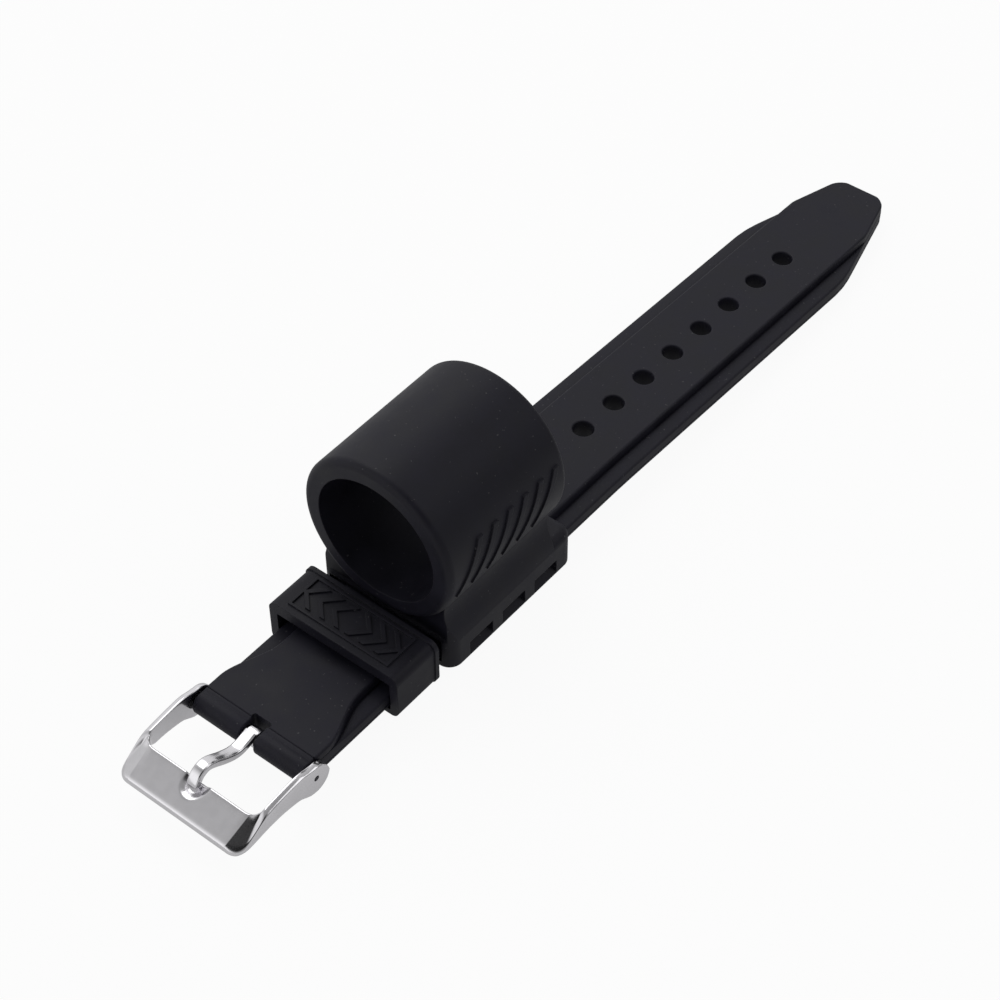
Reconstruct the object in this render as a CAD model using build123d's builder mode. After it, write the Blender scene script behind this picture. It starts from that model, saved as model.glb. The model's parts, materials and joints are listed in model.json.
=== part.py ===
"""Torch wrist strap: a rubber pin-buckle strap that carries a ring for a small dive torch.

X runs along the strap towards its free tip, Y across it and Z up, away from the wrist.
The origin is the middle of the ring holder's underside.  All sizes are millimetres.
"""

import os
from math import cos, radians, sin

from build123d import *

# ---- driving dimensions ------------------------------------------------------------
strap_width = 22.0
strap_thickness = 4.0
flange_thickness = 2.6  # the margins on both sides of the raised band
band_width = 16.0
strap_base = 1.4  # height of the strap's inner face above the holder's underside
hole_pitch = 8.4
hole_count = 8
hole_diameter = 3.6
tail_droop = 2.7  # degrees that the tail leans down from level at rest
holder_length = 30.6
holder_width = 26.6
shoulder_height = 7.0
ring_bore = 22.5
ring_wall = 3.25
ring_length = 28.0
ring_height = 21.7  # height of the ring's axis
keeper_width = 9.4
buckle_reach = 17.0  # from the spring bar to the outer edge of the buckle
steel_sheet = 1.2

# ---- clearances --------------------------------------------------------------------
rubber_gap = 0.3  # between the strap and the loops it runs through
link_gap = 0.1  # between neighbouring lengths of strap
running_gap = 0.05  # radial, round the spring bar's turning and sliding pieces

# ---- stations along the strap ------------------------------------------------------
ring_front = -16.4
buckle_joint = -16.8  # where the buckle end starts to bend
bar_x = -45.0
bar_z = strap_base + strap_thickness / 2
tail_start = 30.7  # where the tail starts to bend, half a pitch before the first hole
link_length = 2 * hole_pitch
tip_length = 22.5
tip_width = 10.0
inner_half = strap_width / 2 + rubber_gap  # half the width inside holder and keeper

# ---- buckle ------------------------------------------------------------------------
loop_half = 10.8  # half the width of the strap end that is rolled round the bar
loop_radius = strap_thickness / 2
shoulder_x = -43.6  # where the full width of the strap stops
slot_width = 3.0
notch_width = 3.6  # the slot is wider behind the bar, where the tongue swings up
notch_end = -42.7
notch_start = -43.7
frame_half = 12.4
frame_inner = frame_half - steel_sheet
ear_radius = 3.0
window_reach = 11.5  # from the spring bar to the window side of the cross plate
barrel_radius = 0.9
barrel_bore = 0.6
barrel_half = 9.1
pin_radius = barrel_bore - running_gap
tip_radius = 0.45
collar_radius = 0.75
collar_inner = 10.5
pin_inner = 4.2
pin_recess = 0.7  # how far the bar's tips stay below the outside of the ears
tongue_width = 2.2

tail_direction = (cos(radians(tail_droop)), 0, -sin(radians(tail_droop)))
tail_normal = (sin(radians(tail_droop)), 0, cos(radians(tail_droop)))


def station(x):
    """Plane across the level part of the strap, its origin on the strap's inner face."""
    return Plane(origin=(x, 0, strap_base), x_dir=(0, 1, 0), z_dir=(1, 0, 0))


def tail_point(distance, height=0.0):
    """Point on the tail's middle line, a distance along it and a height above its inner face."""
    along, up = tail_direction, tail_normal
    return (
        tail_start + distance * along[0] + height * up[0],
        0,
        strap_base + distance * along[2] + height * up[2],
    )


def tail_station(distance):
    """Plane across the tail."""
    return Plane(origin=tail_point(distance), x_dir=(0, 1, 0), z_dir=tail_direction)


def tail_level(distance, height=0.0):
    """Plane lying along the tail, X towards the tip."""
    return Plane(origin=tail_point(distance, height), x_dir=tail_direction, z_dir=tail_normal)


def strap_section():
    """Cross section of the strap: thin margins with the raised band between them."""
    Rectangle(strap_width, flange_thickness, align=(Align.CENTER, Align.MIN))
    Rectangle(band_width, strap_thickness, align=(Align.CENTER, Align.MIN))


def tail_link(number):
    """One of the tail's lengths, with two holes for the tongue."""
    start = number * link_length
    with BuildPart() as link:
        with BuildSketch(tail_station(start + link_gap)):
            strap_section()
        extrude(amount=link_length - link_gap)
        with BuildSketch(tail_level(start)):
            with Locations((0.5 * hole_pitch, 0), (1.5 * hole_pitch, 0)):
                Circle(hole_diameter / 2)
        extrude(amount=strap_thickness, mode=Mode.SUBTRACT)
    return link


# ---- strap -------------------------------------------------------------------------
with BuildPart() as strap_middle:
    with BuildSketch(station(buckle_joint)):
        strap_section()
    extrude(amount=tail_start - buckle_joint)

band_flare_start = -30.0
band_flare_end = -41.0
with BuildPart() as strap_buckle_end:
    # The margins, full width up to the shoulder behind the buckle's ears.
    with BuildSketch(Plane.XY.offset(strap_base)):
        with Locations(((buckle_joint - link_gap + shoulder_x) / 2, 0)):
            Rectangle(buckle_joint - link_gap - shoulder_x, strap_width)
    extrude(amount=flange_thickness)
    # The raised band, which flares out to the strap's full width.
    with BuildSketch(Plane.XY.offset(strap_base)):
        with BuildLine():
            straight = Line((buckle_joint - link_gap, band_width / 2), (band_flare_start, band_width / 2))
            flare = Spline(
                (band_flare_start, band_width / 2),
                (band_flare_end, strap_width / 2),
                tangents=((-1, 0), (-1, 0.12)),
            )
            Line(flare @ 1, (shoulder_x, strap_width / 2))
            Line((shoulder_x, strap_width / 2), (shoulder_x, 0))
            mirror(about=Plane.XZ)
            Line(straight @ 0, (buckle_joint - link_gap, -band_width / 2))
        make_face()
    extrude(amount=strap_thickness)
    # The narrower end that is rolled round the spring bar.
    with BuildSketch(Plane.XZ):
        with Locations((bar_x, bar_z)):
            Circle(loop_radius)
        with Locations(((bar_x + shoulder_x) / 2, bar_z)):
            Rectangle(shoulder_x - bar_x, strap_thickness)
    extrude(amount=loop_half, both=True)
    with BuildSketch(Plane.XZ):
        with Locations((bar_x, bar_z)):
            Circle(barrel_radius + 2 * running_gap)
    extrude(amount=loop_half, both=True, mode=Mode.SUBTRACT)
    with BuildSketch(Plane.XY.offset(strap_base)):
        with Locations((notch_start, 0)):
            Rectangle(strap_thickness, slot_width, align=(Align.MAX, Align.CENTER))
            Rectangle(notch_end - notch_start, notch_width, align=(Align.MIN, Align.CENTER))
    extrude(amount=strap_thickness, mode=Mode.SUBTRACT)

strap_tail = [tail_link(number) for number in range(hole_count // 2)]
tip_start = hole_count // 2 * link_length
corner_round = 2.5
with BuildPart() as strap_tip:
    with BuildSketch(tail_level(tip_start)) as tip_outline:
        with BuildLine():
            Polyline(
                (link_gap, strap_width / 2),
                (tip_length, tip_width / 2),
                (tip_length, -tip_width / 2),
                (link_gap, -strap_width / 2),
                close=True,
            )
        make_face()
        fillet(tip_outline.vertices().sort_by(Axis.X)[-2:], corner_round)
    extrude(amount=flange_thickness)
    with BuildSketch(tail_level(tip_start)):
        add(tip_outline.sketch_local)
        with Locations((tip_length / 2, 0)):
            Rectangle(tip_length, band_width, mode=Mode.INTERSECT)
    extrude(amount=strap_thickness)

# ---- ring holder -------------------------------------------------------------------
corner_radius = 2.4
shoulder_round = 1.5
floor_thickness = 1.1
ring_radius = ring_bore / 2 + ring_wall
front_rim_round = 1.3
rear_rim_round = 1.0
neck_inset = 0.4  # how far the neck's ends stand back from the saddle and the ring
neck_waist = (11.9, 10.8)  # half width and height where the neck is narrowest
neck_foot = (holder_width / 2 - 0.02, 5.6)
neck_angle = 33.0  # degrees below the horizontal where the neck's flank meets the ring
window_count = 3
window_length = 5.6
window_pitch = 8.0
window_sill = 0.3  # height of the sloping sill at its outer and inner edge
window_sill_inner = 2.0
window_top = 3.0
rib_count = 6
rib_pitch = 3.6
rib_height = 0.3
rib_width = 1.2
rib_half_span = 4.2
rib_slant = 2.6

neck_start = -holder_length / 2 + neck_inset
neck_end = ring_front + ring_length - rear_rim_round - neck_inset
neck_drop = ring_radius * sin(radians(neck_angle))
neck_top = (ring_radius * cos(radians(neck_angle)), ring_height - neck_drop)
with BuildPart() as neck:
    # Hollow flanks leave the ring along its surface and run down into the saddle's side walls.
    with BuildSketch(Plane.YZ.offset(neck_start)):
        with BuildLine():
            flank = Spline(
                neck_top,
                neck_waist,
                neck_foot,
                tangents=((-sin(radians(neck_angle)), -cos(radians(neck_angle))), (0.12, -1)),
            )
            Line(flank @ 0, (0, neck_top[1]))
            Line(flank @ 1, (neck_foot[0], floor_thickness + strap_thickness))
            Line((neck_foot[0], floor_thickness + strap_thickness), (0, floor_thickness + strap_thickness))
            mirror(about=Plane.YZ)
        make_face()
    extrude(amount=neck_end - neck_start)
    with BuildSketch(Plane.XY):
        RectangleRounded(holder_length, holder_width, corner_radius)
    extrude(amount=ring_height, mode=Mode.INTERSECT)

with BuildPart() as ring_holder:
    # The saddle under the ring.
    with BuildSketch(Plane.XY):
        RectangleRounded(holder_length, holder_width, corner_radius)
    extrude(amount=shoulder_height)
    fillet(ring_holder.faces().sort_by(Axis.Z)[-1].edges(), shoulder_round)
    add(neck.part)
    # The ring.
    with BuildSketch(Plane.YZ.offset(ring_front)):
        with Locations((0, ring_height)):
            Circle(ring_radius)
    extrude(amount=ring_length)
    for end, rim_round in ((0, front_rim_round), (-1, rear_rim_round)):
        rims = ring_holder.edges().filter_by(GeomType.CIRCLE).filter_by(
            lambda edge: abs(edge.radius - ring_radius) < 0.001
        )
        fillet(rims.group_by(Axis.X)[end], rim_round)
    with BuildSketch(Plane.YZ.offset(ring_front)):
        with Locations((0, ring_height)):
            Circle(ring_bore / 2)
    extrude(amount=ring_length, mode=Mode.SUBTRACT)
    # The passage for the strap, and the windows through its side walls.
    passage_height = strap_base + strap_thickness + rubber_gap - floor_thickness
    with BuildSketch(Plane.XY.offset(floor_thickness)):
        Rectangle(holder_length, 2 * inner_half)
    extrude(amount=passage_height, mode=Mode.SUBTRACT)
    for number in range(window_count):
        window_start = (number - (window_count - 1) / 2) * window_pitch - window_length / 2
        with BuildSketch(Plane.YZ.offset(window_start)):
            Polygon(
                (inner_half, window_sill_inner),
                (holder_width / 2, window_sill),
                (holder_width / 2, window_top),
                (inner_half, window_top),
                align=None,
            )
            mirror(about=Plane.YZ)
        extrude(amount=window_length, mode=Mode.SUBTRACT)

# Slanted grip ribs, raised on both flanks of the ring and bonded to it.
with BuildPart() as grip_ribs:
    with BuildSketch(Plane.XZ.offset(-ring_radius - 1)):
        with Locations((ring_front + ring_length / 2, ring_height)):
            with GridLocations(rib_pitch, 0, rib_count, 1):
                Polygon(
                    (-rib_slant - rib_width / 2, -rib_half_span),
                    (-rib_slant + rib_width / 2, -rib_half_span),
                    (rib_slant + rib_width / 2, rib_half_span),
                    (rib_slant - rib_width / 2, rib_half_span),
                    align=None,
                )
    extrude(amount=2 * ring_radius + 2)
    with BuildSketch(Plane.YZ.offset(ring_front)):
        with Locations((0, ring_height)):
            Circle(ring_radius + rib_height)
            Circle(ring_radius - rib_height, mode=Mode.SUBTRACT)
    extrude(amount=ring_length, mode=Mode.INTERSECT)

with BuildPart() as holder:
    add(ring_holder.part)
    add(grip_ribs.part)

# ---- keeper loop -------------------------------------------------------------------
keeper_centre = -22.6
keeper_half = 12.9
keeper_top = 9.0
keeper_ceiling = 6.9
keeper_round = 1.6
lip_width = 0.8
lip_rise = 0.2
emboss = 0.3
frame_length = 6.9
frame_width = 20.0
frame_line = 0.45
chevron_count = 3
chevron_first = 3.0  # from the middle of the keeper to the point of the first chevron
chevron_pitch = 2.9
chevron_half = 2.5
chevron_line = 1.0  # measured along the keeper

keeper_front = Plane.YZ.offset(keeper_centre - keeper_width / 2)
with BuildPart() as keeper:
    with BuildSketch(keeper_front):
        with Locations((0, keeper_top / 2)):
            RectangleRounded(2 * keeper_half, keeper_top, keeper_round)
    extrude(amount=keeper_width)
    # The flared lip on the edge that faces the holder.
    with BuildSketch(keeper_front.offset(keeper_width - lip_width)):
        with Locations((0, (keeper_top + lip_rise) / 2)):
            RectangleRounded(2 * (keeper_half + lip_rise), keeper_top + lip_rise, keeper_round)
    extrude(amount=lip_width)
    # The opening for the strap.
    with BuildSketch(keeper_front):
        with Locations((0, (floor_thickness + keeper_ceiling) / 2)):
            RectangleRounded(2 * inner_half, keeper_ceiling - floor_thickness, rubber_gap)
    extrude(amount=keeper_width, mode=Mode.SUBTRACT)
    # The raised frame on top, with chevrons pointing each way inside it.
    with BuildSketch(Plane.XY.offset(keeper_top - emboss)):
        with Locations((keeper_centre, 0)):
            Rectangle(frame_length, frame_width)
            Rectangle(frame_length - 2 * frame_line, frame_width - 2 * frame_line, mode=Mode.SUBTRACT)
    extrude(amount=2 * emboss)
    with BuildSketch(Plane.XY.offset(keeper_top - emboss)):
        for side in (-1, 1):
            for number in range(chevron_count):
                with Locations((keeper_centre, side * (chevron_first + number * chevron_pitch))):
                    Polygon(
                        (-chevron_half, -side * chevron_half),
                        (-chevron_half, side * (chevron_line - chevron_half)),
                        (0, side * chevron_line),
                        (chevron_half, side * (chevron_line - chevron_half)),
                        (chevron_half, -side * chevron_half),
                        (0, 0),
                        align=None,
                    )
    extrude(amount=2 * emboss)

# ---- buckle frame ------------------------------------------------------------------
# Buckle outlines are drawn from the spring bar: the first number runs away from the strap.
bar_side = Plane(origin=(bar_x, 0, bar_z), x_dir=(-1, 0, 0), z_dir=(0, 1, 0))
bar_plan = Plane(origin=(bar_x, 0, bar_z), x_dir=(-1, 0, 0), z_dir=(0, 0, -1))
ear_reach = 3.4  # how far the buckle reaches back over the strap
ear_drop = 0.3
plate_corner = 3.0  # radius of the cross plate's outer corners
rest_width = 3.2
rest_depth = 3.0
rest_floor = 0.6
buckle_height = 10.0  # taller than any of it

with BuildPart() as buckle_frame:
    # Side view: ears round the bar, arms, and the sloping cross plate with its turned lip.
    with BuildSketch(bar_side):
        with Locations((0, -ear_drop)):
            Circle(ear_radius)
        with BuildLine():
            top = Spline(
                (0, ear_radius - ear_drop),
                (5.0, 2.8),
                (9.0, 2.6),
                (window_reach, 1.6),
                (16.0, -0.7),
                (buckle_reach, -2.2),
            )
            lip = Line(top @ 1, (buckle_reach - 0.1, -3.0))
            lip_inside = Line(lip @ 1, (buckle_reach - steel_sheet, -2.9))
            plate_under = Spline(lip_inside @ 1, (15.2, -1.9), (window_reach + 0.2, -0.2))
            arm_under = Spline(plate_under @ 1, (8.4, -1.1), (5.0, -1.5), (1.5, -2.9))
            Line(arm_under @ 1, (0, 0))
            Line((0, 0), top @ 0)
        make_face()
    extrude(amount=frame_half, both=True)
    # Plan view: the outline with its rounded outer corners, and the window.
    with BuildSketch(bar_plan) as buckle_plan:
        with Locations(((buckle_reach - ear_reach) / 2, 0)):
            Rectangle(buckle_reach + ear_reach, 2 * frame_half)
        fillet(buckle_plan.vertices().group_by(Axis.X)[-1], plate_corner)
        with Locations(((window_reach - ear_reach) / 2, 0)):
            Rectangle(window_reach + ear_reach, 2 * frame_inner, mode=Mode.SUBTRACT)
    extrude(amount=buckle_height, both=True, mode=Mode.INTERSECT)
    # The tongue's rest, a shallow notch in the middle of the plate's window edge.
    with BuildSketch(bar_plan.offset(-rest_floor)):
        with Locations((window_reach, 0)):
            Rectangle(2 * rest_depth, rest_width)
    extrude(amount=-buckle_height, mode=Mode.SUBTRACT)
    # The holes for the spring bar's tips.
    with BuildSketch(bar_side):
        Circle(tip_radius + running_gap)
    extrude(amount=frame_half, both=True, mode=Mode.SUBTRACT)

# ---- buckle tongue -----------------------------------------------------------------
tongue_thickness = 1.1
tongue_eye = 1.9
with BuildPart() as buckle_tongue:
    with BuildSketch(bar_side):
        Circle(tongue_eye)
        with BuildLine():
            Spline((1.0, 1.1), (3.3, 0.7), (6.2, 1.2), (8.8, 2.3), (10.8, 3.2), (12.3, 2.7), (12.9, 1.6))
        trace(line_width=tongue_thickness)
    extrude(amount=tongue_width / 2, both=True)
    with BuildSketch(bar_side):
        Circle(barrel_radius + running_gap)
    extrude(amount=tongue_width, both=True, mode=Mode.SUBTRACT)

# ---- spring bar --------------------------------------------------------------------
with BuildPart() as bar_barrel:
    with BuildSketch(bar_side):
        Circle(barrel_radius)
        Circle(barrel_bore, mode=Mode.SUBTRACT)
    extrude(amount=barrel_half, both=True)


def bar_pin(side):
    """One end of the spring bar: a stem in the barrel, a collar, and a tip in the buckle's ear."""
    steps = (
        (pin_inner, collar_inner, pin_radius),
        (collar_inner, frame_inner - running_gap, collar_radius),
        (frame_inner - running_gap, frame_half - pin_recess, tip_radius),
    )
    with BuildPart() as pin:
        for start, end, radius in steps:
            with BuildSketch(bar_side.offset(side * start)):
                Circle(radius)
            extrude(amount=side * (end - start))
    return pin


pin_left = bar_pin(1)
pin_right = bar_pin(-1)

spring_wire = 0.3
spring_radius = 0.38
spring_coils = 14
spring_half = pin_inner - spring_wire / 2 - running_gap
with BuildPart() as bar_spring:
    coil = Helix(
        pitch=2 * spring_half / spring_coils,
        height=2 * spring_half,
        radius=spring_radius,
        center=(bar_x, -spring_half, bar_z),
        direction=(0, 1, 0),
    )
    with BuildSketch(Plane(origin=coil @ 0, z_dir=coil % 0)):
        Circle(spring_wire / 2)
    sweep(path=coil, is_frenet=True)

# ---- files -------------------------------------------------------------------------
pieces = {
    "strap_middle": strap_middle,
    "strap_buckle_end": strap_buckle_end,
    "ring_holder": holder,
    "keeper_loop": keeper,
    "buckle_frame": buckle_frame,
    "buckle_tongue": buckle_tongue,
    "spring_bar_barrel": bar_barrel,
    "spring_bar_pin_left": pin_left,
    "spring_bar_pin_right": pin_right,
    "spring_bar_spring": bar_spring,
    "strap_tip": strap_tip,
}
for number, link in enumerate(strap_tail, start=1):
    pieces[f"strap_tail_{number}"] = link

os.makedirs("parts", exist_ok=True)
for name, piece in pieces.items():
    piece.part.label = name
    export_step(piece.part, f"parts/{name}.step")
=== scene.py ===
"""Looks for the torch wrist strap: satin rubber strap, moulded ring holder and keeper, steel pin buckle.

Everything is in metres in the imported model's frame: X runs towards the strap's free tip, Y across
it and Z up.  MM turns the millimetres that sizes are written in into metres.
"""

import json
from math import atan2, cos, hypot, pi, radians, sin, sqrt

import bmesh
import bpy
from mathutils import Matrix, Vector
from mathutils.geometry import interpolate_bezier


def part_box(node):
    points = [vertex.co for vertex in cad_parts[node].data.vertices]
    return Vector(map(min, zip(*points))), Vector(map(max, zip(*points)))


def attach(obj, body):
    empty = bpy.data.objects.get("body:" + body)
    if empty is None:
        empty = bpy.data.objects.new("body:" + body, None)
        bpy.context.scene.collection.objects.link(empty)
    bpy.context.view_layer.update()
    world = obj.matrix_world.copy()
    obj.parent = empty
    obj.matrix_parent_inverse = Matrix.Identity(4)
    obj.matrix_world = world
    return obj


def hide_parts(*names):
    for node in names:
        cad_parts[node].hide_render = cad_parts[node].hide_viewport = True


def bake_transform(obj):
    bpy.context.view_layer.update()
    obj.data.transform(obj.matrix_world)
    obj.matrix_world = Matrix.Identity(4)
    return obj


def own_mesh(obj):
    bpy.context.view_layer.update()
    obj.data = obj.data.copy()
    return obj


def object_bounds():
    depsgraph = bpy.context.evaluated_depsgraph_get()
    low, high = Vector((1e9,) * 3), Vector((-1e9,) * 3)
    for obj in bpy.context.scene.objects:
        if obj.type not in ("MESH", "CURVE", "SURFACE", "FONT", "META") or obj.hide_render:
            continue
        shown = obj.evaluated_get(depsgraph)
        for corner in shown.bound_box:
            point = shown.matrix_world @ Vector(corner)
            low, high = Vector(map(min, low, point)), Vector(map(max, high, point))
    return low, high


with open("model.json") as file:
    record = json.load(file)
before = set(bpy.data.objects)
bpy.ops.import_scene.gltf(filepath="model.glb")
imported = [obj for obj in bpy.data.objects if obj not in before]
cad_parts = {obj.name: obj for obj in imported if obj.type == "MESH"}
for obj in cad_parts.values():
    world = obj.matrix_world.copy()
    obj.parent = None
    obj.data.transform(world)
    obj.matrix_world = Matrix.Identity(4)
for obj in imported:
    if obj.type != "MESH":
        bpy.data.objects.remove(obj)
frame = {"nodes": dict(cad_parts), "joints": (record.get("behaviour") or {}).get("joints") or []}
cad_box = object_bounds()

MM = 0.001
bpy.context.scene.view_settings.view_transform = "Standard"

# ---- what the frame says, in millimetres --------------------------------------------
joint_places = {
    joint["name"]: Vector(joint["pos_m"]) / MM for joint in frame["joints"] if "pos_m" in joint
}


def box(node):
    """Lowest and highest corners of a CAD node, in millimetres."""
    low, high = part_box(node)
    return low / MM, high / MM


middle_low, middle_high = box("strap_middle")
frame_low, frame_high = box("buckle_frame")
barrel_low, barrel_high = box("spring_bar_barrel")

STRAP_HALF = middle_high.y
STRAP_BASE = middle_low.z
STRAP_THICK = middle_high.z - middle_low.z
BAR = (barrel_low + barrel_high) / 2
TAIL_START = middle_high.x
LINK_COUNT = 4  # lengths of the tail between its first hinge and the tip's
LINK = (joint_places["tip_bend"] - joint_places["tail_1_bend"]).length / LINK_COUNT
DROOP = atan2(
    joint_places["tail_1_bend"].z - joint_places["tip_bend"].z,
    joint_places["tip_bend"].x - joint_places["tail_1_bend"].x,
)

# ---- strap proportions --------------------------------------------------------------
MARGIN_THICK = 0.65 * STRAP_THICK
BAND_HALF = 8.0
HOLE_PITCH = LINK / 2
HOLE_RADIUS = 1.8
HOLE_COUNT = 8
HOLE_CELL = 2.6
HOLE_SIDES = 10  # mesh steps along one side of the square of faces round a hole
TIP_LENGTH = 22.5
TIP_START = TAIL_START + LINK_COUNT * LINK
TIP_END = TIP_START + TIP_LENGTH
TIP_HALF = 5.0
TIP_CORNER = 2.5
TIP_EASE = 0.175  # softens the corner where the tip starts to taper
TIP_EASE_HALF = 3.0
SHOULDER_X = BAR.x + 1.4  # where the strap's full width ends behind the bar
SHOULDER_CORNER = 0.6
ROLL_HALF = 10.8  # half the width of the rolled end, and of the slot in it
ROLL_SLOT = 1.5
NOTCH_HALF = 1.8
NOTCH_END = BAR.x + 2.3
FLARE_START = -30.0  # between these the raised band flares out to the full width
FLARE_END = -41.0
TOP_ROUND = 0.35
BOTTOM_ROUND = 0.45
EDGE_ROUND = 0.4  # on top of the margins
PARTING_HEIGHT = 0.85  # of the mould's parting line on the side walls
PARTING_HALF = 0.12
PARTING_DEPTH = 0.1
GROOVE_WIDTH = 0.45  # of the fine groove along the raised band
GROOVE_DEPTH = 0.3
GROOVE_MARGIN = 1.6  # the groove fades out where the margin is narrower than this
SHARP_EDGE = 0.06  # width of the strip that keeps the shading flat next to a rounding
HOLE_RIM = 0.28
NOTCH_CORNER = 0.4
ROLL_RIM = 0.25
ROLL_GROOVE = 0.75  # distance from the bar to the crease where the roll meets the strap
BORE_GAP = 0.1
BEND_HALF = 1.4  # half the length of the zone round the buckle end's hinge
KINK_HALF = 5.0  # half the length over which the tail turns down
ROUND_STEPS = 8  # mesh steps in a rounding seen from above
PLAIN_STEP = 0.8  # mesh step along the plain strap, and near the buckle end's bend
BEND_STEP = 0.3


# ---- helpers ------------------------------------------------------------------------
def smooth(value):
    """0 below 0, 1 above 1 and a soft step between."""
    value = min(max(value, 0.0), 1.0)
    return value * value * (3 - 2 * value)


def finish_mesh(name, mesh_builder, sharp_angle=38):
    """Turns a bmesh in millimetres into an object in metres with smooth faces and sharp creases."""
    bmesh.ops.remove_doubles(mesh_builder, verts=mesh_builder.verts, dist=0.0005)
    bmesh.ops.recalc_face_normals(mesh_builder, faces=mesh_builder.faces)
    bmesh.ops.scale(mesh_builder, vec=(MM, MM, MM), verts=mesh_builder.verts)
    mesh = bpy.data.meshes.new(name)
    mesh_builder.to_mesh(mesh)
    mesh_builder.free()
    mesh.shade_smooth()
    mesh.set_sharp_from_angle(angle=radians(sharp_angle))
    piece = bpy.data.objects.new(name, mesh)
    bpy.context.scene.collection.objects.link(piece)
    return piece


def bridge(builder, first, second, closed=True):
    """Quads between two rows of vertices."""
    count = len(first) if closed else len(first) - 1
    for index in range(count):
        following = (index + 1) % len(first)
        corners = []
        for vertex in (first[index], first[following], second[following], second[index]):
            if vertex not in corners:
                corners.append(vertex)
        if len(corners) > 2:
            builder.faces.new(corners)


def arc(centre, radius, start, end, steps):
    """Points on a circle from one angle to another, in degrees."""
    angles = [radians(start + (end - start) * step / steps) for step in range(steps + 1)]
    return [(centre[0] + radius * cos(angle), centre[1] + radius * sin(angle)) for angle in angles]


def curve_through(points, steps):
    """A smooth line through the points, with the given number of steps between each pair."""
    line = []
    ends = [points[0]] + list(points) + [points[-1]]
    for before, start, end, after in zip(ends, ends[1:], ends[2:], ends[3:]):
        first = Vector(start) + (Vector(end) - Vector(before)) / 6
        second = Vector(end) - (Vector(after) - Vector(start)) / 6
        line += [tuple(point) for point in interpolate_bezier(
            Vector(start).to_3d(), first.to_3d(), second.to_3d(), Vector(end).to_3d(), steps + 1
        )[:-1]]
    line.append(tuple(Vector(points[-1]).to_3d()))
    return [point[:2] for point in line]


def cut_away(piece, builder):
    """Cuts the shape of a bmesh in millimetres out of a piece."""
    cutter = finish_mesh("cutter", builder)
    cut = piece.modifiers.new("cut", "BOOLEAN")
    cut.operation = "DIFFERENCE"
    cut.solver = "EXACT"
    cut.object = cutter
    bpy.context.view_layer.objects.active = piece
    bpy.ops.object.modifier_apply(modifier=cut.name)
    bpy.data.objects.remove(cutter)
    piece.data.set_sharp_from_angle(angle=radians(32))


def inset(outline, distance):
    """The closed outline moved inwards.  It runs anticlockwise."""
    moved = []
    for index, point in enumerate(outline):
        before = Vector(outline[index - 1])
        here = Vector(point)
        after = Vector(outline[(index + 1) % len(outline)])
        first = (here - before).normalized()
        second = (after - here).normalized()
        first_normal = Vector((-first.y, first.x))
        second_normal = Vector((-second.y, second.x))
        middle = (first_normal + second_normal).normalized()
        spread = max(middle.dot(first_normal), 0.5)
        moved.append(tuple(here + middle * (distance / spread)))
    return moved


def slab(builder, outline, holes, low, high, rim, place, steps=4):
    """A plate with the given outline and holes between two heights, its rims rounded.

    place turns (across, up, height) into a point of the object.
    """
    def rounded_loops(loop):
        rows = []
        for height, side in ((low, 1), (high, -1)):
            half = []
            for step in range(steps + 1):
                angle = pi / 2 * step / steps
                half.append((rim * (1 - sin(angle)), height + side * rim * (1 - cos(angle))))
            half.insert(0, (rim + 0.04, height))
            rows += half if side == 1 else half[::-1]
        made = []
        for depth, height in rows:
            made.append([builder.verts.new(place(*point, height)) for point in inset(loop, depth)])
        for first, second in zip(made, made[1:]):
            bridge(builder, first, second)
        return made[0], made[-1]

    loops = [rounded_loops(outline)] + [rounded_loops(hole) for hole in holes]
    for side in (0, 1):
        edges = []
        for pair in loops:
            ring = pair[side]
            for index, vertex in enumerate(ring):
                pair_ends = (vertex, ring[(index + 1) % len(ring)])
                edges.append(builder.edges.get(pair_ends) or builder.edges.new(pair_ends))
        bmesh.ops.triangle_fill(builder, use_beauty=True, use_dissolve=False, edges=edges)


# ---- strap --------------------------------------------------------------------------
def outline_half(s):
    """Half the strap's width at a distance along it."""
    if s > TIP_END - TIP_CORNER:
        reach = min(s - (TIP_END - TIP_CORNER), TIP_CORNER)
        narrow = TIP_CORNER - sqrt(max(TIP_CORNER ** 2 - reach ** 2, 0))
    else:
        narrow = 0.0
    if s < SHOULDER_X + SHOULDER_CORNER:
        reach = min(SHOULDER_X + SHOULDER_CORNER - s, SHOULDER_CORNER)
        narrow = SHOULDER_CORNER - sqrt(max(SHOULDER_CORNER ** 2 - reach ** 2, 0))
    taper = max(s - TIP_START, 0) / (TIP_END - TIP_START) * (STRAP_HALF - TIP_HALF)
    ease = TIP_EASE * smooth(1 - abs(s - TIP_START) / TIP_EASE_HALF)
    return STRAP_HALF - taper - narrow - ease


def band_half(s):
    """Half the raised band's width.  It flares out to the strap's edge at the buckle end."""
    flare = smooth((FLARE_START - s) / (FLARE_START - FLARE_END))
    wide = BAND_HALF + (STRAP_HALF - BAND_HALF) * flare
    return min(wide, outline_half(s) - 0.05)


def end_rounding(s, radius):
    """How far the strap's face sinks towards the rounded rim of either end."""
    reach = max(s - (TIP_END - radius), SHOULDER_X + radius - s, 0)
    reach = min(reach, radius)
    return radius - sqrt(radius ** 2 - reach ** 2)


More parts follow.
